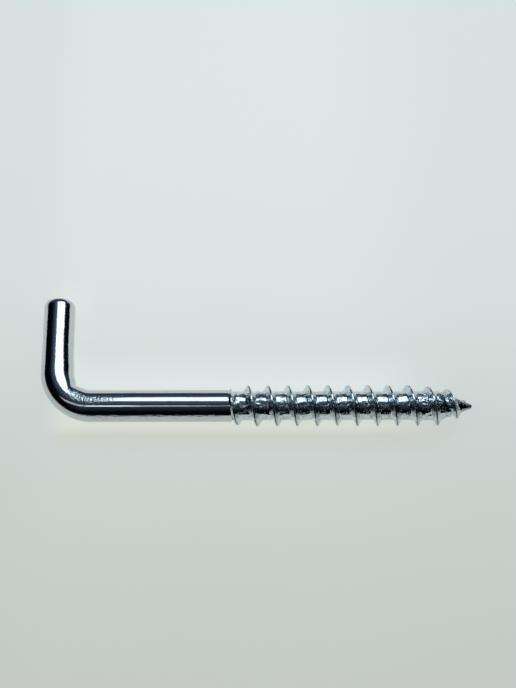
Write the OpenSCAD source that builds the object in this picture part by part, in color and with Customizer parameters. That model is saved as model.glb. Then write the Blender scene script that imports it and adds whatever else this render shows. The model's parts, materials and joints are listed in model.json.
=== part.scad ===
// Square-bend screw hook: one piece of round steel wire.
// The shank lies along X with its point towards +X. The wire turns a square
// corner at the other end and becomes the arm, which points towards +Y.
// The hook lies as it comes to rest: on the thread's crests and the arm's end.
// All lengths are in millimetres and all angles in degrees.

/* [Wire] */
// Diameter of the wire, the same in the shank, the bend and the arm
wire_d = 5.8; // [5.4:0.1:6.6]

/* [Arm and bend] */
// Straight length of the arm, from the bend to its cut end
arm_len = 13.8; // [8:0.1:40]
// Radius of the bend at the wire's centre line
bend_r = 6.75; // [4.5:0.05:14]
// Angle that the wire turns through
bend_angle = 88.3; // [75:0.1:100]
// How much the bend draws the wire's radius down
neck = 0.04; // [0.02:0.01:0.15]
// Rounding of the rim at the arm's cut end
rim_r = 0.7; // [0.2:0.05:1.2]
// Depth of the fold that the bending pressed into the inside of the corner
crease_depth = 0.35; // [0.1:0.05:0.7]
// Angle between the two walls of that fold
crease_angle = 110; // [90:5:130]

/* [Shank] */
// Length of plain wire between the bend and the thread
shank_len = 25.6; // [12:0.1:80]
// Length of the shoulder where the plain wire drops towards the thread's core
shoulder_len = 0.35; // [0.1:0.05:0.8]

/* [Thread] */
// Length from the shoulder to the point
thread_len = 43.4; // [25:0.1:90]
// Advance of the thread in one turn
pitch = 3.6; // [2.8:0.1:4.4]
// Diameter over the thread's crests
crest_d = 7.4; // [6.8:0.1:8.4]
// Diameter of the core between the ridges
core_d = 5; // [4.2:0.1:5.2]
// Width of the flat on top of the ridge
crest_w = 0.35; // [0.2:0.05:0.6]
// Angle between the ridge's two flanks
flank_angle = 60; // [45:1:65]
// Width that the foot of each flank spreads along the core
foot_w = 0.2; // [0.05:0.05:0.25]
// Angle round the shank, from the arm's side, at which the ridge begins
start_angle = -121; // [-180:1:180]
// Distance from the start of the ridge to the end of the plain wire
start_overlap = 2.15; // [0:0.05:3]
// Turns in which the ridge rises to its full height
rise_turns = 1.4; // [0.5:0.1:3]

/* [Point] */
// Angle of the point's cone
point_angle = 42; // [34:1:60]
// Rounding of the very tip
nub_r = 0.42; // [0.25:0.01:0.7]
// Distance from the tip at which the ridge dies out
bare_tip = 1.3; // [0.8:0.1:3]
// Length over which the ridge loses its height before that
fade_len = 6; // [3:0.1:12]

/* [Hidden] */

$fn = 72;
steel = [0.78, 0.81, 0.86];

wire_r = wire_d / 2;
crest_r = crest_d / 2;
core_r = core_d / 2;
ridge_h = crest_r - core_r;
flank = flank_angle / 2;
tip_x = shank_len + thread_len;

// At rest the shank's axis is as high as the crests hold it, and the arm dips
// until the rim of its cut end touches the ground.
axis_h = max(wire_r, crest_r);
arm_reach = bend_r * (1 - cos(bend_angle)) + (arm_len - rim_r) * sin(bend_angle);
dip = asin((axis_h - wire_r) / arm_reach);

// Centre of the rim's rounding at the arm's end, and the direction of the arm
rim_x = -bend_r * sin(bend_angle) - (arm_len - rim_r) * cos(bend_angle);
rim_out = wire_r - rim_r;
rim_steps = 6;

// The bend is a little thinner than the wire, and each end of it runs on inside
// the straight wire for as far as it stays within it
bend_wire_r = wire_r - neck;
tuck_angle = acos(1 - 0.8 * neck / bend_r);
arm_dir_y = sin(bend_angle) * cos(dip);

// Box of the whole hook, from which its origin is taken: the middle of the
// ground that it covers
min_x = min(-bend_r - wire_r, rim_x - rim_out * sin(bend_angle) - rim_r);
max_y = arm_reach * cos(dip) + rim_out * sqrt(1 - arm_dir_y * arm_dir_y) + rim_r;
mid_x = (min_x + tip_x) / 2;
mid_y = (max_y - axis_h) / 2;

// The threaded end is one surface wound round the axis. It has turn_steps rows
// round the axis, and each row's columns step along the section of the ridge.
turn_steps = 40;
crest_half = crest_w / 2;
foot_half = crest_half + ridge_h * tan(flank);
foot_rise = 0.2;
foot_knee = crest_half + (1 - foot_rise) * ridge_h * tan(flank);
// Section of the ridge as [place along one pitch, share of its full height]
section = [
    [pitch / 2 - foot_half - foot_w, 0],
    [pitch / 2 - foot_knee, foot_rise],
    [pitch / 2 - crest_half, 1],
    [pitch / 2 + crest_half, 1],
    [pitch / 2 + foot_knee, foot_rise],
    [pitch / 2 + foot_half + foot_w, 0]
];
cols = len(section);

// The surface starts inside the plain wire, at least one full turn back
ridge_x = shank_len - start_overlap;
first_x = ridge_x - pitch * (start_angle / 360 + 0.5);
hidden_turns = ceil((first_x + pitch + 2 * shoulder_len - shank_len) / pitch);
base_x = first_x - hidden_turns * pitch;

// The cone touches the rounding of the tip at this distance from the tip
cone_half = point_angle / 2;
nub_len = nub_r * (1 - sin(cone_half));
// Columns up to the rounding, which the last turn of the surface covers
last_col = ceil((tip_x - nub_len - base_x) / pitch) * cols;
over_run = base_x + pitch * (last_col / cols + 1.2) - (tip_x - nub_len);
rise_power = 0.45;
fade_power = 0.3;

function share(value, full) = min(1, max(0, value / full));

// Angle on the tip's rounding, from its pole, for a row's place past the cone
function nub_angle(past) = (90 - cone_half) * (1 - past / over_run);

function core_at(d) =
    min(core_r, nub_r * cos(cone_half) + (d - nub_len) * tan(cone_half));

// Height of the ridge whose crest is at crest_x, at a distance d from the tip
function ridge_at(crest_x, d) =
    ridge_h * pow(share((crest_x - ridge_x) / pitch, rise_turns), rise_power)
    * pow(share(d - bare_tip, fade_len), fade_power);

function thread_point(row, col) =
    let (
        turns = row / turn_steps + floor(col / cols),
        place = section[col % cols],
        x = base_x + pitch * turns + place[0],
        past = x - (tip_x - nub_len),
        crest_x = base_x + pitch * (turns + 0.5),
        d = past < 0 ? tip_x - x : nub_r * (1 - cos(nub_angle(past))),
        r = past < 0
            ? core_at(d) + place[1] * ridge_at(crest_x, d)
            : nub_r * sin(nub_angle(past)),
        a = 360 * row / turn_steps
    )
    [tip_x - d, r * cos(a), r * sin(a)];

// The first row is one turn longer, because the last row winds on into it
first_row = last_col + cols + 1;
function index(row, col) =
    row == 0 ? col
    : row == turn_steps ? col + cols
    : first_row + (row - 1) * (last_col + 1) + col;

thread_points = [
    for (col = [0 : last_col + cols]) thread_point(0, col),
    for (row = [1 : turn_steps - 1], col = [0 : last_col]) thread_point(row, col),
    [base_x + pitch / 2, 0, 0],
    [tip_x, 0, 0]
];
start_hub = len(thread_points) - 2;
tip_hub = len(thread_points) - 1;

thread_faces = [
    // Skin, two triangles for each step round and along
    for (row = [0 : turn_steps - 1], col = [0 : last_col - 1])
        each [
            [index(row, col), index(row, col + 1), index(row + 1, col)],
            [index(row + 1, col), index(row, col + 1), index(row + 1, col + 1)]
        ],
    // Both ends, fanned from a point on the axis
    for (row = [0 : turn_steps - 1])
        each [
            [start_hub, index(row, 0), index(row + 1, 0)],
            [tip_hub, index(row + 1, last_col), index(row, last_col)]
        ],
    for (col = [0 : cols - 1])
        each [
            [start_hub, col + 1, col],
            [tip_hub, last_col + col, last_col + col + 1]
        ]
];

// Threaded end with its core, ridge and point
module threaded_end() {
    polyhedron(points = thread_points, faces = thread_faces, convexity = 20);
}

// Plain wire from the bend to the shoulder
module shank() {
    rotate([0, 90, 0]) {
        cylinder(h = shank_len - shoulder_len, r = wire_r);
        translate([0, 0, shank_len - shoulder_len])
            cylinder(h = shoulder_len, r1 = wire_r, r2 = (wire_r + core_r) / 2);
    }
}

// Moves what is drawn about the bend's centre, with the arm's end of the bend
// on the X axis, to its place at the end of the shank
module at_bend_centre() {
    translate([0, bend_r, 0]) rotate([0, 0, -90 - bend_angle]) children();
}

// Wedge with its edge across the inside of the corner
module crease() {
    reach = 2 * crease_depth;
    half = reach * tan(crease_angle / 2);
    rotate([0, 0, bend_angle / 2])
        translate([bend_r - bend_wire_r + crease_depth, 0, -wire_r])
            linear_extrude(height = wire_d)
                polygon([[0, 0], [-reach, half], [-reach, -half]]);
}

// The bend, with the fold pressed into its inside
module bend() {
    difference() {
        rotate([0, 0, -tuck_angle])
            rotate_extrude(angle = bend_angle + 2 * tuck_angle)
                translate([bend_r, 0]) circle(r = bend_wire_r);
        crease();
    }
}

// Arm with the rounded rim of its cut end
module arm() {
    rim = [
        for (a = [0 : 90 / rim_steps : 90])
            [rim_out + rim_r * cos(a), arm_len - rim_r + rim_r * sin(a)]
    ];
    translate([bend_r, 0, 0])
        rotate([90, 0, 0])
            rotate_extrude()
                polygon(concat([[0, 0], [wire_r, 0]], rim, [[0, arm_len]]));
}

module screw_hook() {
    color(steel)
        translate([-mid_x, -mid_y, axis_h])
            rotate([-dip, 0, 0]) {
                shank();
                at_bend_centre() {
                    bend();
                    arm();
                }
                threaded_end();
            }
}

screw_hook();
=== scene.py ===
"""Square-bend screw hook of bright zinc-plated wire.

The hook is one watertight piece.  It is made the way the real one is: a ridge
is wound round a pointed core, the plain wire runs on from it, turns a square
corner and ends in a sheared arm.  Lengths in the classes are in millimetres, in
the hook's own frame: x along the shank with zero where the bend begins, y to
the arm's side and z up.  Angles round the shank run from the arm's side
upwards.  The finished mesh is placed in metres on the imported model.
"""

import json
import logging
import math
from dataclasses import dataclass, field
from enum import Enum
from typing import Union

import bmesh
import bpy
from mathutils import Matrix, Vector, noise


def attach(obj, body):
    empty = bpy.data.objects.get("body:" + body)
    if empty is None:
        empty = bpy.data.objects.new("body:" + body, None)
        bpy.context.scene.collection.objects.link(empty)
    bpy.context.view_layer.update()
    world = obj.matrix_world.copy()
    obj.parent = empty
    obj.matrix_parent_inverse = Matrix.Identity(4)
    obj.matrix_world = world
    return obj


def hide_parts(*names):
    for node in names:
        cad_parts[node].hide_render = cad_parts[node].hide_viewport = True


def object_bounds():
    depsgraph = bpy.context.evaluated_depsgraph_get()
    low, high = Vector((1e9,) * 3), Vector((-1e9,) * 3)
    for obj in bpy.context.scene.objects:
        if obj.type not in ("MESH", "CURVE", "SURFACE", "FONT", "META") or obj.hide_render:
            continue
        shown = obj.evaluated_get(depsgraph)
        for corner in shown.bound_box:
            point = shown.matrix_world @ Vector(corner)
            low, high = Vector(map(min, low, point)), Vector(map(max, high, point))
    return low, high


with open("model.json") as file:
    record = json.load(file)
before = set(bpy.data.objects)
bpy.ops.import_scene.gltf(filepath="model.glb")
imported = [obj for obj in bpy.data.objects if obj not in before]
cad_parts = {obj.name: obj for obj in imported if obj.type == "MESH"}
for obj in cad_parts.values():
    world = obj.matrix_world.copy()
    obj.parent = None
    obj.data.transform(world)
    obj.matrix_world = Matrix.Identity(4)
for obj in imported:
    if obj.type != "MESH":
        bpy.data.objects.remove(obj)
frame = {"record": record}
CAD_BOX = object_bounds()

LOG = logging.getLogger("screw_hook")
MM = 0.001
TAU = 2 * math.pi
# Fixes the noise vectors, which would follow the clock without it
NOISE_SEED = 3
WELD = 1e-4

Triple = tuple[float, float, float]
Colour = Triple
Tones = tuple[tuple[float, Colour], ...]
Span = tuple[float, float]
Window = tuple[float, float, float, float]
Socket = bpy.types.NodeSocket
Value = Union[bpy.types.NodeSocket, float, tuple]


# --------------------------------------------------------------------------
# Small helpers
# --------------------------------------------------------------------------


def share(value: float, low: float, high: float) -> float:
    """How far value has gone from low to high, held between 0 and 1."""
    return min(1.0, max(0.0, (value - low) / (high - low)))


def ease(value: float, low: float, high: float) -> float:
    """The same share with a smooth start and end."""
    t = share(value, low, high)
    return t * t * (3 - 2 * t)


def bell(value: float, middle: float, width: float) -> float:
    """A smooth hump of height 1 round middle."""
    return math.exp(-(((value - middle) / width) ** 2))


def smooth_max(a: float, b: float, blend: float) -> float:
    """The larger of a and b, with a fillet of size blend where they cross."""
    h = max(blend - abs(a - b), 0.0) / blend
    return max(a, b) + h * h * blend / 4


def smooth_min(a: float, b: float, blend: float) -> float:
    """The smaller of a and b, with a fillet of size blend where they cross."""
    return -smooth_max(-a, -b, blend)


def scaled(point: Vector, scale: Triple) -> Vector:
    """The point with each axis scaled."""
    return Vector((point.x * scale[0], point.y * scale[1], point.z * scale[2]))


def folds(point: Vector, sharpness: float) -> float:
    """Thin wandering lines: 1 on a line, 0 away from it, narrower if sharper."""
    bent = point + 0.6 * noise.noise_vector(point * 0.7)
    return max(0.0, 1 - abs(noise.noise(bent)) * 3.2) ** sharpness


@dataclass(frozen=True)
class Hump:
    """A smooth swelling: its height, its middle's place, and its half width."""

    height: float
    middle: float
    width: float

    def at(self, place: float) -> float:
        """Height of the swelling at a place."""
        return self.height * bell(place, self.middle, self.width)


# --------------------------------------------------------------------------
# Place of the hook
# --------------------------------------------------------------------------


@dataclass(frozen=True)
class Wire:
    """The wire that the whole hook is made of, and the corner it is bent to."""

    radius: float = 2.9
    bend_radius: float = 6.75
    bend_angle: float = math.radians(88.3)
    arm_length: float = 13.93
    facets: int = 96

    @property
    def bend_length(self) -> float:
        """Length of the wire's centre line in the bend."""
        return self.bend_radius * self.bend_angle

    @property
    def end(self) -> float:
        """Place of the arm's cut end along the wire, a negative number."""
        return -self.bend_length - self.arm_length

    def straighten(self, point: Vector) -> Vector:
        """Finds where a point of the bent hook was on the straight wire.

        Args:
            point: A point in the hook's frame.

        Returns:
            Its place along the wire, towards the bend's centre, and up.
        """
        if point.x >= 0:
            return point.copy()
        rel_x, rel_y = point.x, point.y - self.bend_radius
        turned = math.atan2(-rel_x, -rel_y)
        if turned <= self.bend_angle:
            out = math.hypot(rel_x, rel_y)
            return Vector((-self.bend_radius * turned, self.bend_radius - out, point.z))
        sin_a, cos_a = math.sin(self.bend_angle), math.cos(self.bend_angle)
        along = -rel_x * cos_a + rel_y * sin_a
        out = -rel_x * sin_a - rel_y * cos_a
        return Vector((-self.bend_length - along, self.bend_radius - out, point.z))

    def bend(self, point: Vector) -> Vector:
        """Carries a point of the straight wire to its place on the bent hook.

        Args:
            point: Place along the wire, towards the bend's centre, and up.

        Returns:
            The point in the hook's frame.
        """
        if point.x >= 0:
            return point.copy()
        turned = min(-point.x / self.bend_radius, self.bend_angle)
        along = max(0.0, -point.x - self.bend_length)
        out = self.bend_radius - point.y
        sin_a, cos_a = math.sin(turned), math.cos(turned)
        x = -out * sin_a - along * cos_a
        y = self.bend_radius - out * cos_a + along * sin_a
        return Vector((x, y, point.z))


@dataclass(frozen=True)
class Rest:
    """How the hook lies on the ground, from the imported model's mounts and box."""

    tip_x: float
    shank_y: float
    shank_z: float
    dip: float

    @classmethod
    def from_record(cls, record: dict) -> "Rest":
        """Reads the shank's axis and the arm's dip off the mounts.

        Args:
            record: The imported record.

        Returns:
            The hook's resting place.
        """
        mounts = {m["name"]: m for m in record["mounts"]}
        shank = Vector(mounts["thread"]["pos_m"])
        arm = Vector(mounts["arm"]["axis"]).normalized()
        dip = math.asin(-arm.z / math.hypot(arm.y, arm.z))
        LOG.info("rest: the arm dips %.2f degrees", math.degrees(dip))
        return cls(CAD_BOX[1].x, shank.y, shank.z, dip)

    def matrix(self, length: float) -> Matrix:
        """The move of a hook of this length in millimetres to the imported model."""
        place = Matrix.Translation((self.tip_x - length * MM, self.shank_y, self.shank_z))
        return place @ Matrix.Rotation(-self.dip, 4, "X") @ Matrix.Scale(MM, 4)


# --------------------------------------------------------------------------
# The hook's mesh
# --------------------------------------------------------------------------


class Zone(Enum):
    """Names of the mesh attributes that the finish follows."""

    STRAIGHT = "straight_wire"
    ROLLED = "rolled"
    # A dark seam along the crests, partly a painted dark reflection
    SEAM = "crest_seam_and_reflection"
    BARE = "bare_point"
    PEEL = "bend_peel"
    RIPPLE = "ripples"
    CUT = "cut_end"


@dataclass(frozen=True)
class RollMarks:
    """Marks that the rolling dies leave between the ridges and on the crests.

    They are busiest on the first turns, which end some way after the shoulder,
    and on the last ones before the tip.
    """

    # Height of each set of waves, with how close they run
    waves: tuple[Span, ...] = ((0.014, 0.9), (0.016, 2.1))
    fold_depth: float = 0.07
    fold_sharpness: float = 2.0
    fold_scale: Triple = (1.3, 0.85, 0.85)
    lump_height: float = 0.05
    lump_scale: Triple = (2.6, 1.6, 1.6)
    lump_shift: Triple = (7, 1, 4)
    calm: float = 0.3
    busy_start: float = 0.8
    busy_end: float = 1.9
    start_reach: Span = (9, 16)
    end_reach: Span = (8.0, 11.0)
    spared_crest: float = 0.7
    # The point: its length, its plain part, and the lumps on its last bit
    point: float = 3.4
    point_plain: Span = (1.0, 1.7)
    point_rough: float = 0.2
    point_lumps: Span = (0.012, 0.045)
    point_scale: float = 2.4
    nub_plain: Span = (0.1, 0.5)
    # The torn seam along the last crests
    burr_reach: Span = (8.5, 12.0)
    burr_scale: float = 1.1
    burr_radius: float = 3.0
    burr_half: float = 0.7
    burr_width: float = 0.35
    tears: tuple[Span, ...] = ((0.09, 0.9), (0.07, 2.2))
    seam: Hump = Hump(0.1, 0.02, 0.05)

    def depth(self, at: Vector, past_shoulder: float, to_tip: float) -> float:
        """Height of the marks between the ridges.

        Args:
            at: Place on the core.
            past_shoulder: Distance from the shoulder.
            to_tip: Distance to the tip.

        Returns:
            The height, less than 0 where the dies have cut in.
        """
        start = 1 - ease(past_shoulder, *self.start_reach)
        end = 1 - ease(to_tip, *self.end_reach)
        busy = self.calm + self.busy_start * start + self.busy_end * end
        waves = sum(height * noise.noise(at * close) for height, close in self.waves)
        cuts = folds(scaled(at, self.fold_scale), self.fold_sharpness)
        lumps = noise.noise(scaled(at, self.lump_scale) + Vector(self.lump_shift))
        rough = waves - busy * (self.fold_depth * cuts - self.lump_height * lumps)
        if to_tip < self.point:
            low, high = self.point_plain
            least, more = self.point_lumps
            rough *= self.point_rough + (1 - self.point_rough) * ease(to_tip, high, self.point)
            lumpy = least + more * (1 - ease(to_tip, low, high))
            rough += lumpy * noise.noise(at * self.point_scale) * ease(to_tip, *self.nub_plain)
        return rough

    def burr(self, x: float, angle: float, to_tip: float, off: float) -> float:
        """Height of the open seam and torn crest on the last turns.

        Args:
            x: Place along the axis.
            angle: Angle round the axis.
            to_tip: Distance to the tip.
            off: Distance along the axis from the crest's middle.

        Returns:
            The height that the burr adds to the crest.
        """
        worn = 1 - ease(to_tip, *self.burr_reach)
        if worn == 0 or abs(off) > self.burr_half:
            return 0.0
        y, z = self.burr_radius * math.cos(angle), self.burr_radius * math.sin(angle)
        at = Vector((x * self.burr_scale, y, z))
        torn = sum(height * noise.noise(at * close) for height, close in self.tears)
        return worn * bell(off, 0, self.burr_width) * (torn - self.seam.at(off))


@dataclass
class ThreadedEnd:
    """Rolled wood thread with its shoulder, core, ridge and point."""

    wire: Wire
    marks: RollMarks = RollMarks()
    join: float = 21.5
    tip: float = 69.0
    snap_join: float = 0.03
    snap_tip: float = 0.004
    pitch: float = 3.62
    crest_radius: float = 3.7
    core_radius: float = 2.61
    core_blend: float = 0.25
    # Start of the ridge: where, over how many turns it comes up, and how steeply
    start_angle: float = math.radians(-121)
    start_lead: float = 2.26
    start_turns: Span = (0.25, 0.75)
    rise_turns: float = 1.4
    rise_power: float = 0.45
    # Point: its cone, its blunt nub, the ridge's end and a slight lean and belly
    cone_half: float = math.radians(21)
    nub_radius: float = 0.42
    bare_tip: float = 1.2
    fade_length: float = 6.0
    fade_power: float = 0.16
    lean: float = 0.2
    lean_reach: Span = (0.6, 3.6)
    belly: Hump = Hump(0.2, 3.4, 1.6)
    bare_reach: Span = (1.8, 3.2)
    # Shoulder: the plain wire's edge, its pressed-up lip and its drop to the core
    shoulder: float = 25.25
    shoulder_length: float = 0.35
    shoulder_slant: Hump = Hump(0.3, 2.0, 0.5)
    shoulder_wander: float = 0.05
    shoulder_blend: float = 0.05
    lip: float = 0.17
    lip_swell: Hump = Hump(0.22, 0.1, 0.5)
    lip_past_edge: float = 0.08
    lip_width: float = 0.16
    drop_rate: float = 9.0
    drop_power: float = 1.6
    drop_length: float = 1.0
    marks_start: Span = (-0.1, 0.6)
    zone_start: Span = (-0.1, 0.3)
    bruise: Hump = Hump(0.28, 10.39, 0.2)
    seam_width: float = 0.13
    # Where the painted dark along the crests is left out, so that the highlight shows
    seam_gap_for_highlight: Hump = Hump(0.9, 1.44, 0.27)
    # Section of the ridge: distance from the crest's middle, share of the height
    section: tuple[Span, ...] = (
        (0.0, 1.0),
        (0.1, 0.998),
        (0.145, 0.98),
        (0.185, 0.935),
        (0.23, 0.867),
        (0.28, 0.785),
        (0.34, 0.685),
        (0.41, 0.565),
        (0.49, 0.435),
        (0.57, 0.315),
        (0.65, 0.21),
        (0.74, 0.12),
        (0.84, 0.055),
        (0.97, 0.018),
        (1.15, 0.003),
        (1.45, 0.0),
    )

    @property
    def first_crest(self) -> float:
        """Place along the axis at which a crest passes the arm's side."""
        lead = self.shoulder + self.shoulder_length - self.start_lead
        return lead - self.pitch * self.start_angle / TAU

    def wind(self, bm: bmesh.types.BMesh) -> list[bmesh.types.BMEdge]:
        """Winds the ridge's section round the axis and closes it into a skin.

        Args:
            bm: Mesh that the skin is made in.

        Returns:
            The edges of the skin's open ring, where the plain wire goes on.
        """
        steps = self.wire.facets
        back = math.ceil((self.first_crest - self.join) / self.pitch) + 1
        start = self.first_crest - back * self.pitch
        turns = math.ceil((self.tip - start) / self.pitch) + 1
        half = [s for s, _ in self.section] + [self.pitch / 2]
        places = [-s for s in reversed(half[1:])] + half
        verts = [bm.verts.new((start + s, self.wire.radius, 0)) for s in places]
        edges = [bm.edges.new(pair) for pair in zip(verts, verts[1:])]
        bmesh.ops.spin(
            bm,
            geom=verts + edges,
            cent=(0, 0, 0),
            axis=(1, 0, 0),
            dvec=(self.pitch / steps, 0, 0),
            angle=TAU,
            steps=steps,
            use_merge=False,
            use_duplicate=False,
        )
        one_turn = bm.verts[:] + bm.edges[:] + bm.faces[:]
        for turn in range(1, turns):
            made = bmesh.ops.duplicate(bm, geom=one_turn)["geom"]
            verts = [g for g in made if isinstance(g, bmesh.types.BMVert)]
            bmesh.ops.translate(bm, verts=verts, vec=(self.pitch * turn, 0, 0))
        bmesh.ops.remove_doubles(bm, verts=bm.verts, dist=10 * WELD)
        for vert in bm.verts:
            vert.co = self.skin(vert.co)
        bmesh.ops.remove_doubles(bm, verts=bm.verts, dist=WELD)
        bmesh.ops.dissolve_degenerate(bm, edges=bm.edges, dist=WELD / 10)
        ring = [e for e in bm.edges if e.is_boundary]
        LOG.info("thread: %d turns, open ring of %d edges", turns, len(ring))
        return ring

    def skin(self, wound: Vector) -> Vector:
        """Brings a point of the wound tube to its place on the skin.

        Args:
            wound: A point of the tube.

        Returns:
            The point on the skin, no further out than the join and the tip.
        """
        angle = math.atan2(wound.z, wound.y)
        x = min(self.tip, max(self.join, wound.x))
        if x < self.join + self.snap_join:
            x = self.join
        if x > self.tip - self.snap_tip:
            x = self.tip
        radius = self.radius(x, angle)
        lean = self.lean * (1 - ease(self.tip - x, *self.lean_reach))
        return Vector((x, radius * math.cos(angle) - lean, radius * math.sin(angle)))

    def radius(self, x: float, angle: float) -> float:
        """Radius of the skin, from the plain wire to the tip.

        Args:
            x: Place along the axis.
            angle: Angle round the axis.

        Returns:
            Distance of the skin from the axis.
        """
        if x <= self.join:
            return self.wire.radius
        if x >= self.tip:
            return 0.0
        off, since = self.offset(x, angle)
        to_tip = self.tip - x
        core = self.core(to_tip) + self.rolling(x, angle, off)
        core += self.belly.at(to_tip) * max(0.0, -math.cos(angle)) ** 2
        height = self.crest_radius - self.core_radius
        rise = share(since, 0, self.rise_turns) ** self.rise_power
        height *= rise * ease(since, *self.start_turns)
        full = self.bare_tip + self.fade_length
        height *= share(to_tip, self.bare_tip, full) ** self.fade_power
        height *= 1 - self.bruise.at(since)
        thread = core + height * self.ridge(off) + self.marks.burr(x, angle, to_tip, off)
        return smooth_max(thread, self.plain(x, angle), self.shoulder_blend)

    def offset(self, x: float, angle: float) -> tuple[float, float]:
        """Finds where a point lies across and along the ridge.

        Args:
            x: Place along the axis.
            angle: Angle round the axis.

        Returns:
            Distance along the axis from the nearest crest's middle, and the
            turns that this crest has made since the ridge began.
        """
        phase = (x - self.first_crest) / self.pitch - angle / TAU
        turn = math.floor(phase + 0.5)
        return (phase - turn) * self.pitch, turn + (angle - self.start_angle) / TAU

    def core(self, to_tip: float) -> float:
        """Radius of the core and of the point.

        Args:
            to_tip: Distance to the tip.

        Returns:
            Radius of the nub, of the cone or of the core, whichever is there.
        """
        nub_length = self.nub_radius * (1 - math.sin(self.cone_half))
        if to_tip < nub_length:
            return math.sqrt(max(0.0, to_tip * (2 * self.nub_radius - to_tip)))
        cone = self.nub_radius * math.cos(self.cone_half)
        cone += (to_tip - nub_length) * math.tan(self.cone_half)
        return smooth_min(cone, self.core_radius, self.core_blend)

    def ridge(self, off: float) -> float:
        """Reads the ridge's section.

        Args:
            off: Distance along the axis from the crest's middle.

        Returns:
            Share of the ridge's height.
        """
        off = abs(off)
        for (s0, h0), (s1, h1) in zip(self.section, self.section[1:]):
            if off <= s1:
                return h0 + (h1 - h0) * (off - s0) / (s1 - s0)
        return 0.0

    def rolling(self, x: float, angle: float, off: float) -> float:
        """Height of the marks between the ridges.

        Args:
            x: Place along the axis.
            angle: Angle round the axis.
            off: Distance along the axis from the crest's middle.

        Returns:
            The height, 0 before the thread and low on the crests.
        """
        before, after = self.marks_start
        on_thread = ease(x, self.shoulder + before, self.shoulder + after)
        if on_thread == 0:
            return 0.0
        around = self.core_radius
        at = Vector((x, around * math.cos(angle), around * math.sin(angle)))
        rough = self.marks.depth(at, x - self.shoulder, self.tip - x)
        return on_thread * (1 - self.marks.spared_crest * self.ridge(off)) * rough

    def plain(self, x: float, angle: float) -> float:
        """Radius of the plain wire, with the lip and drop at its shoulder.

        Args:
            x: Place along the axis.
            angle: Angle round the axis.

        Returns:
            The radius, less than 0 beyond the drop.
        """
        edge = self.shoulder_edge(angle)
        around = Vector((math.cos(angle), math.sin(angle), 3.1))
        edge += self.shoulder_wander * noise.noise(around)
        if x > edge + self.drop_length:
            return -self.wire.radius
        lip = self.lip + self.lip_swell.at(angle)
        lip *= bell(x, edge + self.lip_past_edge, self.lip_width)
        return self.wire.radius + lip - self.drop_rate * max(0.0, x - edge) ** self.drop_power

    def shoulder_edge(self, angle: float) -> float:
        """Place along the axis at which the plain wire ends at this angle."""
        return self.shoulder + self.shoulder_slant.at(angle)

    def zones(self, at: Vector) -> dict[Zone, float]:
        """Tells which zones of the finish a point of the skin is in.

        Args:
            at: A point of the skin, along the straight wire.

        Returns:
            Share of the zones that belong to the thread.
        """
        found = {Zone.BARE: 1 - ease(self.tip - at.x, *self.bare_reach)}
        if at.x > self.join:
            angle = math.atan2(at.z, at.y)
            edge = self.shoulder_edge(angle)
            before, after = self.zone_start
            found[Zone.ROLLED] = ease(at.x, edge + before, edge + after)
            if at.x > edge:
                # The crest's seam and painted dark reflection, left out where the highlight
                # falls
                seam = bell(self.offset(at.x, angle)[0], 0.0, self.seam_width)
                found[Zone.SEAM] = seam * (1 - self.seam_gap_for_highlight.at(angle))
        return found


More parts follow.
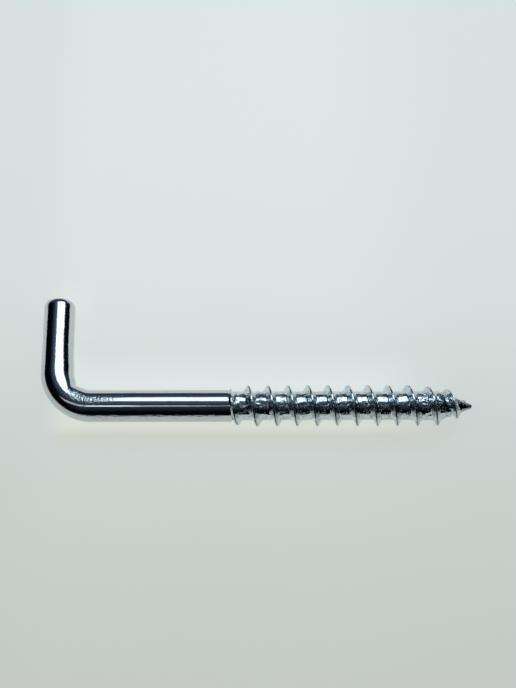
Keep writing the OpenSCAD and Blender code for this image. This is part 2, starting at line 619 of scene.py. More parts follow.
@dataclass
class PlainWire:
    """Plain shank, square bend and arm, down to the sheared end."""

    wire: Wire
    ring_step: float = 0.45
    bend_steps: int = 60
    arm_step: float = 0.45
    # Cut end: its rolled-over rim, its face, and how crooked the shears left it
    roll_length: float = 1.1
    roll_drop: float = 0.36
    roll_steps: int = 8
    edge_width: float = 0.05
    cap_rings: int = 7
    cut_skew: float = math.radians(2.0)
    cut_reach: float = 1.6
    cut_torn: float = 0.05
    cut_ledge: float = 0.06
    ledge_line: Span = (-0.4, 0.1)
    face_rim: Span = (2.9, 2.3)
    cut_zone: Span = (0.02, 0.06)
    # Bend: how much it is squeezed, its inner crease, and the fullness beside it
    squeeze: float = 0.05
    crease_depth: float = 0.3
    crease_half: float = 0.95
    crease_wander: float = 0.1
    crease_power: float = 1.7
    inward_power: float = 1.6
    bulge: Hump = Hump(0.07, 1.35, 0.7)
    fullness: Hump = Hump(0.25, -10.0, 3.2)
    unevenness: float = 0.004
    uneven_scale: Triple = (0.25, 0.4, 0.4)
    # Pebbled skin inside the bend: where it comes and goes along the wire, where
    # it begins and ends across it, and how far it widens towards the arm
    peel_in: Span = (-5.5, -2.8)
    peel_least: float = 0.12
    peel_out: Span = (0.5, 5.5)
    peel_across: Span = (-0.32, -0.08)
    peel_top: float = 0.36
    peel_edge: float = 0.2
    peel_widening: float = 0.3
    widening_reach: Span = (-3.5, 0.5)
    arm_peel: float = 0.15
    arm_reach: Span = (-11.0, -7.0)
    # Faint ripples along the lower front of the shank
    ripple: Hump = Hump(1.0, 1.08, 0.3)
    ripple_in: Span = (-3.0, 2.0)
    ripple_out: Span = (23.0, 24.5)

    def draw(self, bm: bmesh.types.BMesh, ring: list[bmesh.types.BMEdge]) -> None:
        """Runs the wire on from the thread's open ring to the cut end.

        Args:
            bm: Mesh that the wire is made in.
            ring: Edges of the open ring that the wire goes on from.
        """
        length = max(v.co.x for e in ring for v in e.verts)
        ring = self.pull(bm, ring, Vector((-length, 0, 0)), self.ring_step)
        made = bmesh.ops.spin(
            bm,
            geom=self.with_verts(ring),
            cent=(0, self.wire.bend_radius, 0),
            axis=(0, 0, 1),
            angle=-self.wire.bend_angle,
            steps=self.bend_steps,
            use_merge=False,
            use_duplicate=False,
        )
        ring = [g for g in made["geom_last"] if isinstance(g, bmesh.types.BMEdge)]
        a = self.wire.bend_angle
        arm = Vector((-math.cos(a), math.sin(a), 0))
        straight = self.wire.arm_length - self.roll_length
        ring = self.pull(bm, ring, arm * straight, self.arm_step)
        self.close(bm, ring, arm)

    @staticmethod
    def with_verts(ring: list[bmesh.types.BMEdge]) -> list:
        """The ring's edges and vertices together."""
        return list(dict.fromkeys(v for e in ring for v in e.verts)) + list(ring)

    def pull(
        self, bm: bmesh.types.BMesh, ring: list[bmesh.types.BMEdge], way: Vector, step: float
    ) -> list[bmesh.types.BMEdge]:
        """Pulls a ring out into a straight tube.

        Args:
            bm: Mesh that the tube is made in.
            ring: Edges of the ring.
            way: Direction and length of the tube.
            step: Largest distance between two rings of the tube.

        Returns:
            Edges of the tube's last ring.
        """
        steps = max(1, math.ceil(way.length / step))
        made = bmesh.ops.spin(
            bm,
            geom=self.with_verts(ring),
            cent=(0, 0, 0),
            axis=(0, 0, 1),
            dvec=way / steps,
            angle=0,
            steps=steps,
            use_merge=False,
            use_duplicate=False,
        )
        return [g for g in made["geom_last"] if isinstance(g, bmesh.types.BMEdge)]

    def close(
        self, bm: bmesh.types.BMesh, ring: list[bmesh.types.BMEdge], arm: Vector
    ) -> None:
        """Rolls the rim of the cut end over a little and closes its face.

        Args:
            bm: Mesh that the end is made in.
            ring: Edges of the arm's last ring.
            arm: Direction of the arm.
        """
        radii, rises = [], []
        for k in range(1, self.roll_steps + 1):
            radii.append(self.wire.radius - self.roll_drop * (k / self.roll_steps) ** 2)
            rises.append(self.roll_length * k / self.roll_steps)
        face = radii[-1] - self.edge_width
        for k in range(self.cap_rings + 1):
            radii.append(face * (1 - k / (self.cap_rings + 0.5)))
            rises.append(self.roll_length)
        radius, rise = self.wire.radius, 0.0
        for next_radius, next_rise in zip(radii, rises):
            made = bmesh.ops.extrude_edge_only(bm, edges=ring)
            verts = [g for g in made["geom"] if isinstance(g, bmesh.types.BMVert)]
            ring = [g for g in made["geom"] if isinstance(g, bmesh.types.BMEdge)]
            ring = [e for e in ring if e.is_boundary]
            bmesh.ops.translate(bm, verts=verts, vec=arm * (next_rise - rise))
            middle = sum((v.co for v in verts), Vector()) / len(verts)
            ratio = next_radius / radius
            bmesh.ops.scale(
                bm, verts=verts, vec=(ratio,) * 3, space=Matrix.Translation(-middle)
            )
            radius, rise = next_radius, next_rise
        last = bmesh.ops.contextual_create(bm, geom=ring)["faces"]
        bmesh.ops.poke(bm, faces=last)

    def form(self, at: Vector) -> Vector:
        """Forms the straight wire's skin: the squeezed bend and the sheared end.

        Args:
            at: A point of the skin, along the wire, towards the centre, and up.

        Returns:
            The point after forming, in the same frame.
        """
        radius = math.hypot(at.y, at.z)
        if radius < 1e-6:
            return self.shear(at)
        inward = at.y / radius
        middle = -self.wire.bend_length / 2
        grow = self.unevenness * noise.noise(scaled(at, self.uneven_scale))
        in_bend = math.cos(math.pi * share(abs(at.x - middle), 0, self.wire.bend_length))
        in_bend = max(0.0, in_bend) ** 2
        grow -= self.squeeze * in_bend
        if inward > 0:
            inner = (at.x - middle) * (1 - self.wire.radius / self.wire.bend_radius)
            wander = self.crease_wander * noise.noise(Vector((at.z * 0.9, 2.0, 5.0)))
            fold = share(abs(inner - wander), self.crease_half, 0)
            grow -= self.crease_depth * fold**self.crease_power * inward**self.inward_power
            grow += (self.bulge.at(abs(inner)) + self.fullness.at(at.x)) * inward**2
        else:
            grow -= self.squeeze * in_bend * inward * inward
        scale = (self.wire.radius + grow) / self.wire.radius
        return self.shear(Vector((at.x, at.y * scale, at.z * scale)))

    def shear(self, at: Vector) -> Vector:
        """Skews and roughens the cut end the way shears leave it.

        Args:
            at: A point of the skin, along the wire.

        Returns:
            The point, moved along the wire if it is near the end.
        """
        near = ease(at.x, self.wire.end + self.cut_reach, self.wire.end)
        if near == 0:
            return at
        skew = math.tan(self.cut_skew) * at.y
        torn = self.cut_torn * noise.noise(Vector((at.y * 0.5, at.z * 0.5, 9.0)))
        on_face = ease(math.hypot(at.y, at.z), *self.face_rim)
        torn += self.cut_ledge * ease(at.z, *self.ledge_line) * on_face
        return Vector((at.x + near * (skew + torn), at.y, at.z))

    def zones(self, at: Vector, from_end: float) -> dict[Zone, float]:
        """Tells which zones of the finish a point of the skin is in.

        Args:
            at: A point of the skin, along the straight wire.
            from_end: Its distance from the cut end before forming.

        Returns:
            Share of the zones that belong to the plain wire.
        """
        inward = at.y / self.wire.radius
        top = self.peel_top + self.peel_widening * (1 - ease(at.x, *self.widening_reach))
        band = ease(inward, *self.peel_across) * (1 - ease(inward, top - self.peel_edge, top))
        bend = self.peel_least + (1 - self.peel_least) * ease(at.x, *self.peel_in)
        bend *= 1 - ease(at.x, *self.peel_out)
        arm = 1 - ease(at.x, *self.arm_reach)
        shank = ease(at.x, *self.ripple_in) * (1 - ease(at.x, *self.ripple_out))
        return {
            Zone.PEEL: max(band * bend, self.arm_peel * arm),
            Zone.RIPPLE: shank * self.ripple.at(math.atan2(-at.y, at.z)),
            Zone.CUT: 1 - ease(from_end, *self.cut_zone),
        }


@dataclass
class ScrewHook:
    """The whole hook: threaded end, shank, square bend and arm, in one piece."""

    wire: Wire = field(default_factory=Wire)
    thread: ThreadedEnd = field(init=False)
    plain: PlainWire = field(init=False)

    def __post_init__(self) -> None:
        """Makes the two ends of the same wire."""
        self.thread = ThreadedEnd(self.wire)
        self.plain = PlainWire(self.wire)

    def build(self, finish: bpy.types.Material) -> bpy.types.Object:
        """Builds the hook, lays it on the ground and dresses it.

        Args:
            finish: The plated finish.

        Returns:
            The hook's object, at the origin with its place in its mesh.
        """
        bm = bmesh.new()
        ring = self.thread.wind(bm)
        self.plain.draw(bm, ring)
        bmesh.ops.remove_doubles(bm, verts=bm.verts, dist=WELD)
        bmesh.ops.recalc_face_normals(bm, faces=bm.faces)
        self.mark(bm)
        rest = Rest.from_record(frame["record"])
        bmesh.ops.transform(bm, matrix=rest.matrix(self.thread.tip), verts=bm.verts)
        open_edges = sum(1 for e in bm.edges if len(e.link_faces) != 2)
        for face in bm.faces:
            face.smooth = True
        mesh = bpy.data.meshes.new("hook")
        bm.to_mesh(mesh)
        bm.free()
        mesh.materials.append(finish)
        hook = bpy.data.objects.new("hook", mesh)
        bpy.context.scene.collection.objects.link(hook)
        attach(hook, "root")
        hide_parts("screw_hook")
        triangles = sum(len(p.vertices) - 2 for p in mesh.polygons)
        LOG.info("hook: %d triangles, %d open edges", triangles, open_edges)
        return hook

    def mark(self, bm: bmesh.types.BMesh) -> None:
        """Forms the plain wire and writes where each zone of the finish lies.

        Args:
            bm: The hook's mesh, in the hook's frame.
        """
        straight = bm.verts.layers.float_vector.new(Zone.STRAIGHT.value)
        layers = {
            zone: bm.verts.layers.float.new(zone.value)
            for zone in Zone
            if zone is not Zone.STRAIGHT
        }
        for vert in bm.verts:
            at = self.wire.straighten(vert.co)
            from_end = at.x - self.wire.end
            if at.x < self.thread.join:
                at = self.plain.form(at)
                vert.co = self.wire.bend(at)
            vert[straight] = at
            found = self.thread.zones(at) | self.plain.zones(at, from_end)
            for zone, value in found.items():
                vert[layers[zone]] = value


# --------------------------------------------------------------------------
# Finishes
# --------------------------------------------------------------------------


class NodeBench:
    """Short calls for laying out a material's nodes."""

    def __init__(self, tree: bpy.types.NodeTree) -> None:
        """Clears the tree and starts with nothing in it."""
        self.tree = tree
        tree.nodes.clear()

    def node(self, kind: str, **settings: object) -> bpy.types.Node:
        """Adds a node.

        Args:
            kind: The node's type.
            **settings: Properties to set on it.

        Returns:
            The node.
        """
        made = self.tree.nodes.new(kind)
        for name, value in settings.items():
            setattr(made, name, value)
        return made

    def feed(self, socket: Socket, value: Value) -> None:
        """Links or sets an input.

        Args:
            socket: The input.
            value: An output to link, or a value to set.
        """
        if isinstance(value, bpy.types.NodeSocket):
            self.tree.links.new(value, socket)
        else:
            socket.default_value = value

    def math(self, operation: str, *values: Value) -> Socket:
        """Adds a Math node.

        Args:
            operation: What it works out.
            *values: Its inputs.

        Returns:
            Its result.
        """
        made = self.node("ShaderNodeMath", operation=operation)
        for socket, value in zip(made.inputs, values):
            self.feed(socket, value)
        return made.outputs[0]

    def total(self, *values: Value) -> Socket:
        """Adds up several values.

        Args:
            *values: The values.

        Returns:
            Their sum.
        """
        result = values[0]
        for value in values[1:]:
            result = self.math("ADD", result, value)
        return result

    def times(self, *values: Value) -> Socket:
        """Multiplies several values.

        Args:
            *values: The values.

        Returns:
            Their product.
        """
        result = values[0]
        for value in values[1:]:
            result = self.math("MULTIPLY", result, value)
        return result

    def less(self, value: Value, taken: Value) -> Socket:
        """Subtracts one value from another."""
        return self.math("SUBTRACT", value, taken)

    def attribute(self, zone: Zone, output: str = "Fac") -> Socket:
        """Reads one of the hook's zones."""
        return self.node("ShaderNodeAttribute", attribute_name=zone.value).outputs[output]

    def stretched(self, vector: Socket, scale: Triple, shift: Triple = (0, 0, 0)) -> Socket:
        """Scales and shifts a vector.

        Args:
            vector: The vector.
            scale: Factor on each axis.
            shift: What is added on each axis after that.

        Returns:
            The new vector.
        """
        made = self.node("ShaderNodeMapping", vector_type="POINT")
        self.feed(made.inputs["Vector"], vector)
        self.feed(made.inputs["Scale"], scale)
        self.feed(made.inputs["Location"], shift)
        return made.outputs[0]

    def noise(
        self, vector: Socket, scale: float, detail: float = 2.0, rough: float = 0.5
    ) -> Socket:
        """Adds a Noise Texture.

        Args:
            vector: Where it is read.
            scale: How close its lumps lie.
            detail: How many finer layers it has.
            rough: How strong these are.

        Returns:
            Its value.
        """
        made = self.node("ShaderNodeTexNoise")
        self.feed(made.inputs["Vector"], vector)
        self.feed(made.inputs["Scale"], scale)
        self.feed(made.inputs["Detail"], detail)
        self.feed(made.inputs["Roughness"], rough)
        return made.outputs["Fac"]

    def between(
        self, value: Value, low: float, high: float, to_low: float = 0.0, to_high: float = 1.0
    ) -> Socket:
        """Maps a value smoothly from one range to another.

        Args:
            value: The value.
            low: Where it leaves the first end.
            high: Where it reaches the other end.
            to_low: Result at the first end.
            to_high: Result at the other end.

        Returns:
            The result, held between the two ends.
        """
        made = self.node("ShaderNodeMapRange", interpolation_type="SMOOTHSTEP")
        self.feed(made.inputs["Value"], value)
        self.feed(made.inputs["From Min"], low)
        self.feed(made.inputs["From Max"], high)
        self.feed(made.inputs["To Min"], to_low)
        self.feed(made.inputs["To Max"], to_high)
        return made.outputs[0]

    def mix(self, share_of_b: Value, a: Value, b: Value) -> Socket:
        """Mixes two colours.

        Args:
            share_of_b: How much of the second colour there is.
            a: First colour.
            b: Second colour.

        Returns:
            The mixed colour.
        """
        made = self.node("ShaderNodeMix", data_type="RGBA")
        for index, value in ((0, share_of_b), (6, a), (7, b)):
            self.feed(made.inputs[index], value)
        return made.outputs[2]


@dataclass(frozen=True)
class Relief:
    """Heights of the plate's fine patterns, in millimetres."""

    drawn: float = 0.0012
    scuffs: float = 0.0022
    peel: float = 0.085
    ripple: float = 0.09
    fine_ripple: float = 0.012
    lumps: float = 0.03
    cracks: float = -0.03
    grain: float = 0.0006
    point_lumps: float = 0.012
    point_grain: float = 0.004
    cut_grain: float = 0.03
    pits: float = -0.008


@dataclass(frozen=True)
class BrightZinc:
    """Bright zinc plate on drawn steel wire, pitted, and dark at the bare point."""

    clean: tuple = (0.62, 0.655, 0.665, 1)
    dull: tuple = (0.5, 0.53, 0.53, 1)
    teal: tuple = (0.655, 0.72, 0.75, 1)
    # Painted shade in the folds, and painted dark reflection along the crests
    dark: tuple = (0.045, 0.05, 0.055, 1)
    bare: tuple = (0.47, 0.485, 0.49, 1)
    # Share of the dark colour painted into the folds as shade
    crack_shade: float = 0.7
    # Share of the dark colour on the crests: a seam and a painted dark reflection
    seam_and_reflection_dark: float = 0.92
    point_bare: float = 0.85
    roughness: float = 0.085
    grain_rough: float = 0.05
    rolled_rough: float = -0.01
    cut_rough: float = 0.3
    # Limits that turn a noise into patches: of grain, dull clouds, and dark seams with painted
    # dark reflection
    grain_limits: Span = (0.3, 0.75)
    cloud_limits: Span = (0.45, 0.9)
    seam_limits: Span = (0.3, 0.5)
    crack_patches: Span = (0.42, 0.6)
    crack_limits: Span = (0.04, 0.006)
    pit_limits: Span = (0.13, 0.03)
    pit_free: float = 0.65
    pit_warp: float = 0.3
    relief: Relief = Relief()

    def make(self) -> bpy.types.Material:
        """Lays out the material.

        Returns:
            The finished material.
        """
        material = bpy.data.materials.new("bright_zinc")
        material.use_nodes = True
        bench = NodeBench(material.node_tree)
        wire = bench.attribute(Zone.STRAIGHT, "Vector")
        zones = {zone: bench.attribute(zone) for zone in Zone if zone is not Zone.STRAIGHT}
        rolled = zones[Zone.ROLLED]
        grain = bench.noise(wire, 5.5, 3, 0.6)
        cracks = self.cracks(bench, wire)

        roughest = self.roughness + self.grain_rough
        rough = bench.total(
            bench.between(grain, *self.grain_limits, self.roughness, roughest),
            bench.times(rolled, self.rolled_rough),
            bench.times(zones[Zone.CUT], self.cut_rough),
        )
        bump = bench.node("ShaderNodeBump")
        bump.inputs["Strength"].default_value = 1.0
        bump.inputs["Distance"].default_value = MM
        bench.feed(bump.inputs["Height"], self.height(bench, wire, zones, grain, cracks))

        shader = bench.node("ShaderNodeBsdfPrincipled")
        shader.inputs["Metallic"].default_value = 1.0
        bench.feed(shader.inputs["Base Color"], self.tint(bench, wire, zones, cracks))
        bench.feed(shader.inputs["Roughness"], rough)
        bench.feed(shader.inputs["Normal"], bump.outputs[0])
        output = bench.node("ShaderNodeOutputMaterial")
        bench.feed(output.inputs["Surface"], shader.outputs[0])
        return material

    def tint(
        self, bench: NodeBench, wire: Socket, zones: dict[Zone, Socket], cracks: Socket
    ) -> Socket:
        """Lays out the colour: clouded plate, painted shade in the folds, a dark seam with
        painted dark reflection along the crests, a bare point.

        Args:
            bench: Where the nodes are laid out.
            wire: Place along the straight wire.
            zones: The hook's zones.
            cracks: The folds in the thread.

        Returns:
            The colour.
        """
        rolled = zones[Zone.ROLLED]
        cloud = bench.noise(wire, 0.45, 3)
        seam = bench.times(zones[Zone.SEAM], bench.between(cloud, *self.seam_limits))
        colour = bench.mix(bench.between(cloud, *self.cloud_limits), self.clean, self.dull)
        colour = bench.mix(rolled, colour, self.teal)
        # Painted shade in the thread's folds
        colour = bench.mix(bench.times(cracks, rolled, self.crack_shade), colour, self.dark)
        # Dark seam and painted dark reflection along the crests
        colour = bench.mix(bench.times(seam, self.seam_and_reflection_dark), colour, self.dark)
        return bench.mix(bench.times(zones[Zone.BARE], self.point_bare), colour, self.bare)

    def height(
        self,
        bench: NodeBench,
        wire: Socket,
        zones: dict[Zone, Socket],
        grain: Socket,
        cracks: Socket,
    ) -> Socket:
        """Lays out the fine relief, each pattern in the zone that it belongs to.

        Args:
            bench: Where the nodes are laid out.
            wire: Place along the straight wire.
            zones: The hook's zones.
            grain: The plate's finest pattern.
            cracks: The folds in the thread.

        Returns:
            The height, in millimetres.
        """
        drawn = bench.noise(bench.stretched(wire, (0.12, 4.5, 4.5)), 1.0, 3, 0.6)
        scuffs = bench.noise(bench.stretched(wire, (0.8, 2.0, 2.0)), 1.0, 3, 0.65)
        orange = bench.less(bench.noise(wire, 3.1, 1.0, 0.5), 0.5)
        lumps = bench.noise(bench.stretched(wire, (2.3, 1.7, 1.7)), 1.0, 3, 0.6)
        patterns = (
            (drawn, self.relief.drawn),
            (scuffs, self.relief.scuffs),
            (orange, zones[Zone.PEEL], self.relief.peel),
            (scuffs, zones[Zone.RIPPLE], self.relief.ripple),
            (orange, zones[Zone.RIPPLE], self.relief.fine_ripple),
            (lumps, zones[Zone.ROLLED], self.relief.lumps),
            (cracks, zones[Zone.ROLLED], self.relief.cracks),
            (grain, self.relief.grain),
            (lumps, zones[Zone.BARE], self.relief.point_lumps),
            (grain, zones[Zone.BARE], self.relief.point_grain),
            (grain, zones[Zone.CUT], self.relief.cut_grain),
            (self.pits(bench, wire), self.relief.pits),
        )
        return bench.total(*(bench.times(*parts) for parts in patterns))

    def cracks(self, bench: NodeBench, wire: Socket) -> Socket:
        """Lays out the thin wandering folds that the dies press into the thread.

        Args:
            bench: Where the nodes are laid out.
            wire: Place along the straight wire.

        Returns:
            A value that is 1 on a fold.
        """
        wander = bench.noise(bench.stretched(wire, (1.5, 0.9, 0.9), (3, 7, 2)), 1.0, 2, 0.6)
        off = bench.math("ABSOLUTE", bench.less(wander, 0.5))
        patch = bench.between(bench.noise(wire, 0.9, 2), *self.crack_patches)
        return bench.times(bench.between(off, *self.crack_limits), patch)

    def pits(self, bench: NodeBench, wire: Socket) -> Socket:
        """Lays out sparse small pits in the plate, of uneven outline.

        Args:
            bench: Where the nodes are laid out.
            wire: Place along the straight wire.

        Returns:
            A value that is 1 in a pit.
        """
        warp = bench.node("ShaderNodeTexNoise")
        bench.feed(warp.inputs["Vector"], wire)
        warp.inputs["Scale"].default_value = 4.0
        bent = bench.node("ShaderNodeVectorMath", operation="MULTIPLY_ADD")
        parts = (warp.outputs["Color"], (self.pit_warp,) * 3, wire)
        for socket, value in zip(bent.inputs, parts):
            bench.feed(socket, value)
        cells = bench.node("ShaderNodeTexVoronoi", feature="F1")
        bench.feed(cells.inputs["Vector"], bent.outputs[0])
        cells.inputs["Scale"].default_value = 1.3
        cells.inputs["Randomness"].default_value = 1.0
        dot = bench.between(cells.outputs["Distance"], *self.pit_limits)
        some = bench.node("ShaderNodeSeparateColor")
        bench.feed(some.inputs[0], cells.outputs["Color"])
        kept = bench.math("GREATER_THAN", some.outputs[0], self.pit_free)
        return bench.times(dot, kept)


@dataclass(frozen=True)
class PaleTable:
    """Plain pale table top that the hook lies on, with a painted falloff of light that makes it
    a little darker towards its front.

    The ramps of painted tone give the distance behind the hook's middle, in millimetres,
    and the colour there.  A window gives where something opens, is full, starts to close
    and is closed, in millimetres from the hook's middle.
    """

    # Painted falloff of the light: the table darker towards its front
    painted_tones: Tones = (
        (-57, (0.555, 0.588, 0.56)),
        (-39, (0.578, 0.617, 0.591)),
        (-25, (0.604, 0.645, 0.617)),
        (-15, (0.615, 0.66, 0.64)),
        (4, (0.688, 0.74, 0.73)),
        (16, (0.702, 0.76, 0.752)),
        (47, (0.716, 0.775, 0.768)),
        (81, (0.694, 0.767, 0.759)),
    )
    # Painted shade and light round the hook, in the patch given by near_x and near_y: a
    # yellowish painted shadow just in front of the shank, and painted light under the hook
    painted_near_tones: Tones = (
        (-18, (0.612, 0.656, 0.636)),
        (-15, (0.616, 0.655, 0.61)),
        (-13, (0.632, 0.666, 0.598)),
        (-11, (0.722, 0.772, 0.695)),
        (-8, (0.735, 0.785, 0.74)),
        (-3.2, (0.748, 0.803, 0.80)),
        (0, (0.714, 0.77, 0.765)),
        (6, (0.69, 0.742, 0.733)),
    )
    near_x: Window = (-40, -34, 20, 40)
    near_y: Window = (-18, -15, 0, 6)
    # Painted vignette: the table's middle, and the tone left at its sides
    middle_x: Window = (-46, -33, 12, 44)
    sides: float = 0.955
    # How far the painted vignette at the sides weakens to the front: from, to, and what is left
    sides_front: Triple = (-32, -10, 0.3)
    # Painted light on the table inside the bend
    nook_x: Window = (-40, -35, -34.5, -29)
    nook_y: Window = (-6, 0, 13, 20)
    nook_painted_light: float = 0.045
    # Distance in metres over which the table goes dark, far from the hook
    dark_reach: Span = (0.3, 1.6)
    mottle: float = 0.006
    mottle_scale: float = 30.0
    roughness: float = 0.9
    glow: float = 0.86
    half_size: float = 2.0

    def build(self) -> bpy.types.Object:
        """Makes the table.

        Returns:
            The table's object.
        """
        bm = bmesh.new()
        bmesh.ops.create_grid(bm, x_segments=1, y_segments=1, size=self.half_size)
        mesh = bpy.data.meshes.new("table")
        bm.to_mesh(mesh)
        bm.free()
        mesh.materials.append(self.make())
        table = bpy.data.objects.new("table", mesh)
        bpy.context.scene.collection.objects.link(table)
        LOG.info("table: plain, %.1f m wide", 2 * self.half_size)
        return table

    def make(self) -> bpy.types.Material:
        """Lays out a matt finish with its painted falloff and vignette, painted shade and light
        round the hook, and a faint mottle.

        Returns:
            The finished material.
        """
        material = bpy.data.materials.new("pale_table")
        material.use_nodes = True
        bench = NodeBench(material.node_tree)
        place = bench.node("ShaderNodeTexCoord").outputs["Object"]
        split = bench.node("ShaderNodeSeparateXYZ")
        bench.feed(split.inputs[0], place)
        across, behind = split.outputs["X"], split.outputs["Y"]
        cloud = bench.noise(place, self.mottle_scale, 3)
        cloud = bench.between(cloud, 0.3, 0.7, -self.mottle, self.mottle)
        # wide is the painted falloff; near is the painted shade and light round the hook
        wide = self.ramp(bench, behind, cloud, self.painted_tones, "B_SPLINE")
        near = self.ramp(bench, behind, cloud, self.painted_near_tones, "LINEAR")
        tone = bench.mix(self.patch(bench, across, behind, self.near_x, self.near_y), wide, near)
        colour = bench.node("ShaderNodeVectorMath", operation="SCALE")
        bench.feed(colour.inputs[0], tone)
        bench.feed(colour.inputs["Scale"], self.level(bench, place, across, behind))
        shader = bench.node("ShaderNodeBsdfPrincipled")
        shader.inputs["Roughness"].default_value = self.roughness
        shader.inputs["Specular IOR Level"].default_value = 0.0
        bench.feed(shader.inputs["Base Color"], colour.outputs[0])
        output = bench.node("ShaderNodeOutputMaterial")
        bench.feed(output.inputs["Surface"], self.backlit(bench, shader, colour.outputs[0]))
        return material

    def level(
        self, bench: NodeBench, place: Socket, across: Socket, behind: Socket
    ) -> Socket:
        """Lays out the painted vignette that darkens the table to its sides, the painted light
        inside the bend, and the darkening far from the hook.

        Args:
            bench: Where the nodes are laid out.
            place: The place on the table, in metres.
            across: Its x.
            behind: Its y.

        Returns:
            The factor on the table's tone.
        """
        # Painted vignette towards the table's sides
        low, high, least = self.sides_front
        side = bench.less(1.0, self.window(bench, across, self.middle_x))
        side = bench.times(side, bench.between(behind, low * MM, high * MM, least, 1.0))
        level = bench.less(1.0, bench.times(side, 1 - self.sides))
        # Painted light inside the bend
        nook = self.patch(bench, across, behind, self.nook_x, self.nook_y)
        level = bench.times(level, bench.total(1.0, bench.times(nook, self.nook_painted_light)))
        reach = bench.node("ShaderNodeVectorMath", operation="LENGTH")
        bench.feed(reach.inputs[0], place)
        dark = bench.between(reach.outputs["Value"], *self.dark_reach, 1.0, 0.0)
        return bench.times(level, dark)

    @staticmethod
    def window(bench: NodeBench, place: Socket, limits: Window) -> Socket:
        """Adds a value that is 1 between two places and falls off beyond them.

        Args:
            bench: Where the nodes are laid out.
            place: The place, in metres.
            limits: The window.

        Returns:
            The value.
        """
        start, full, fade, end = (limit * MM for limit in limits)
        rise = bench.between(place, start, full)
        fall = bench.between(place, end, fade)
        return bench.times(rise, fall)

    def patch(
        self, bench: NodeBench, across: Socket, behind: Socket, x: Window, y: Window
    ) -> Socket:
        """Adds a value that is 1 in a soft-edged patch of the table."""
        return bench.times(self.window(bench, across, x), self.window(bench, behind, y))

    @staticmethod
    def ramp(
        bench: NodeBench, place: Socket, cloud: Socket, painted_tones: Tones, blend: str
    ) -> Socket:
        """Adds a ramp of painted tone over the distance behind the hook's middle.

        Args:
            bench: Where the nodes are laid out.
            place: That distance, in metres.
            cloud: Faint mottle that is added to the ramp's place.
            painted_tones: Distances in millimetres, with the colour at each.
            blend: How the ramp runs from one tone to the next.

        Returns:
            The ramp's colour.
        """
        first, last = painted_tones[0][0], painted_tones[-1][0]
        scaled = bench.times(place, 1 / (last - first) / MM)
        along = bench.less(scaled, first / (last - first))
        made = bench.node("ShaderNodeValToRGB")
        bench.feed(made.inputs[0], bench.total(along, cloud))
        made.color_ramp.interpolation = blend
        while len(made.color_ramp.elements) < len(painted_tones):
            made.color_ramp.elements.new(0.5)
        for element, (distance, colour) in zip(made.color_ramp.elements, painted_tones):
            element.position = (distance - first) / (last - first)
            element.color = (*colour, 1)
        return made.outputs[0]

    def backlit(self, bench: NodeBench, matt: bpy.types.Node, colour: Socket) -> Socket:
        """Lets the table glow a little under the hook, so that its shadow stays pale.

        Args:
            bench: Where the nodes are laid out.
            matt: The table's matt shader.
            colour: The table's colour.

        Returns:
            The mixed shader.
        """
        path = bench.node("ShaderNodeLightPath")
        rays = ("Is Camera Ray", "Is Glossy Ray", "Is Transmission Ray")
        seen = bench.total(*(path.outputs[ray] for ray in rays))
        seen = bench.times(bench.math("MINIMUM", seen, 1.0), self.glow)
        glow = bench.node("ShaderNodeEmission")
        bench.feed(glow.inputs["Color"], colour)
        mixed = bench.node("ShaderNodeMixShader")
        for socket, value in zip(mixed.inputs, (seen, matt.outputs[0], glow.outputs[0])):
            bench.feed(socket, value)
        return mixed.outputs[0]


# --------------------------------------------------------------------------
# Light and camera
# --------------------------------------------------------------------------

KEY_WHITE: Colour = (0.83, 1.0, 1.04)
HALO_BLUE: Colour = (0.54, 0.8, 1.22)
STRIP_WHITE: Colour = (0.9, 0.95, 1.0)


@dataclass(frozen=True)
class Panel:
    """A flat soft lamp level with the table and facing straight down.

    Its sides are distances from the hook's middle, in millimetres.
    """

    name: str
    left: float
    right: float
    near: float
    far: float
    height: float
    radiance: float
    colour: Colour

    def light(self) -> bpy.types.Object:
        """Makes the lamp.

        Returns:
            The lamp's object.
        """
        lamp = bpy.data.lights.new(self.name, "AREA")
        lamp.shape = "RECTANGLE"
        lamp.size = (self.right - self.left) * MM
        lamp.size_y = (self.far - self.near) * MM
        lamp.color = self.colour
        lamp.energy = self.radiance * math.pi * lamp.size * lamp.size_y
        made = bpy.data.objects.new(self.name, lamp)
        middle = Vector((self.left + self.right, self.near + self.far, 2 * self.height)) / 2
        made.location = middle * MM
        made.visible_camera = False
        bpy.context.scene.collection.objects.link(made)
        LOG.info("lamp %s: %.3f W", self.name, lamp.energy)
        return made


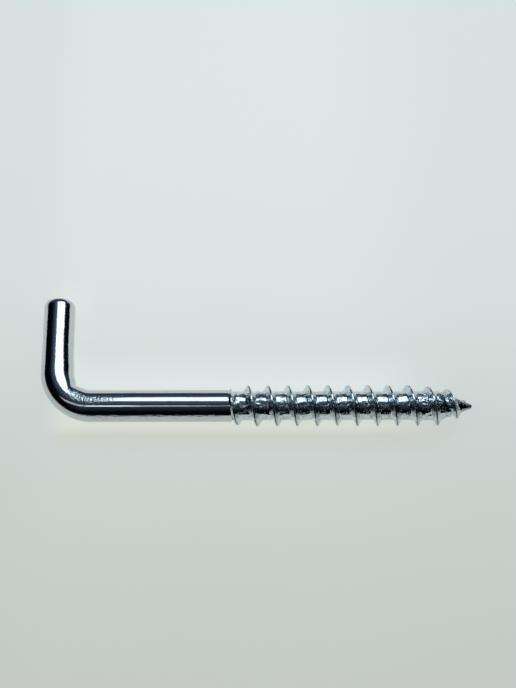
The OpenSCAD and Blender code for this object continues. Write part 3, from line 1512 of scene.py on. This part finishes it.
@dataclass(frozen=True)
class Studio:
    """Soft key lamp, narrow lamps by the camera, and a dark room with soft fill.

    The metal sees the room as it is, dark; matt surfaces get the fill.  A pair
    gives where a part of the room begins and where it is full, along its axis.
    """

    fill: tuple = (0.84, 0.845, 0.82, 1)
    black: tuple = (0.0012, 0.0016, 0.003, 1)
    glow: tuple = (0.026, 0.036, 0.06, 1)
    navy: tuple = (0.036, 0.048, 0.095, 1)
    glow_front: Span = (-0.9, -0.35)
    glow_side: Span = (0.75, 0.3)
    glow_up: Span = (0.1, 0.5)
    navy_back: Span = (0.4, 0.85)
    panels: tuple[Panel, ...] = (
        Panel("key", -57, 150, 56, 178, 180, 1.95, KEY_WHITE),
        Panel("key_far", 2, 150, 178, 240, 180, 1.95, KEY_WHITE),
        Panel("key_halo", -46, 170, 28, 215, 182, 0.11, HALO_BLUE),
        Panel("bend_halo", -90, -46, 70, 215, 182, 0.09, HALO_BLUE),
        Panel("far_halo", -128, 190, -8, 300, 184, 0.04, HALO_BLUE),
        Panel("room_halo", -165, 215, -10, 400, 186, 0.018, HALO_BLUE),
        Panel("strip_bend", -200, -79, -80, -46, 180, 0.7, STRIP_WHITE),
        Panel("strip_left", -73, -44, -70, -51, 180, 1.9, STRIP_WHITE),
        Panel("strip_middle", -44, -19, -70, -51, 180, 0.85, STRIP_WHITE),
        Panel("strip_right", -19, 40, -70, -51, 180, 0.28, STRIP_WHITE),
    )

    def light(self) -> None:
        """Lights the scene and sets the room round it."""
        for panel in self.panels:
            panel.light()
        self.room()

    def room(self) -> None:
        """Makes the world: near black, a glow high in the front, navy at the back.

        Rays that matt surfaces send out find the even fill in its place.
        """
        world = bpy.data.worlds.new("room")
        bpy.context.scene.world = world
        world.use_nodes = True
        bench = NodeBench(world.node_tree)
        way = bench.node("ShaderNodeSeparateXYZ")
        bench.feed(way.inputs[0], bench.node("ShaderNodeTexCoord").outputs["Generated"])
        x, y, z = way.outputs
        lit = bench.times(
            bench.between(y, *self.glow_front),
            bench.between(bench.math("ABSOLUTE", x), *self.glow_side),
            bench.between(z, *self.glow_up),
        )
        tone = bench.mix(lit, self.black, self.glow)
        tone = bench.mix(bench.between(y, *self.navy_back), tone, self.navy)
        path = bench.node("ShaderNodeLightPath")
        matt = bench.math("GREATER_THAN", path.outputs["Diffuse Depth"], 0.5)
        tone = bench.mix(matt, tone, self.fill)
        ground = bench.node("ShaderNodeBackground")
        bench.feed(ground.inputs["Color"], tone)
        output = bench.node("ShaderNodeOutputWorld")
        bench.feed(output.inputs["Surface"], ground.outputs[0])
        LOG.info("room: dark, with a soft fill for matt surfaces")


@dataclass(frozen=True)
class Viewpoint:
    """Camera above the hook, tilted a little from straight down."""

    target: Triple = (0.00075, 0.005, 0.0)
    distance: float = 0.1926
    tilt: float = math.radians(20.5)
    roll: float = math.radians(-0.1)
    lens: float = 53.2
    sensor: float = 36.0
    clip: Span = (0.01, 20.0)

    def place(self) -> bpy.types.Object:
        """Makes the camera and hands it to the scene.

        Returns:
            The camera's object.
        """
        data = bpy.data.cameras.new("camera")
        data.lens = self.lens
        data.sensor_width = self.sensor
        data.clip_start, data.clip_end = self.clip
        camera = bpy.data.objects.new("camera", data)
        turn = Matrix.Rotation(self.tilt, 4, "X") @ Matrix.Rotation(self.roll, 4, "Z")
        back = Vector((0, -math.sin(self.tilt), math.cos(self.tilt))) * self.distance
        camera.matrix_world = Matrix.Translation(Vector(self.target) + back) @ turn
        bpy.context.scene.collection.objects.link(camera)
        bpy.context.scene.camera = camera
        LOG.info("camera: %.1f mm lens, %.0f mm away", self.lens, self.distance / MM)
        return camera


# --------------------------------------------------------------------------


def main() -> None:
    """Builds the camera, the hook, the table and the light, in that order."""
    logging.basicConfig(level=logging.INFO, format="%(name)s: %(message)s")
    noise.seed_set(NOISE_SEED)
    Viewpoint().place()
    ScrewHook().build(BrightZinc().make())
    PaleTable().build()
    Studio().light()
    bpy.context.scene.view_settings.view_transform = "Standard"


if __name__ == "__main__":
    main()
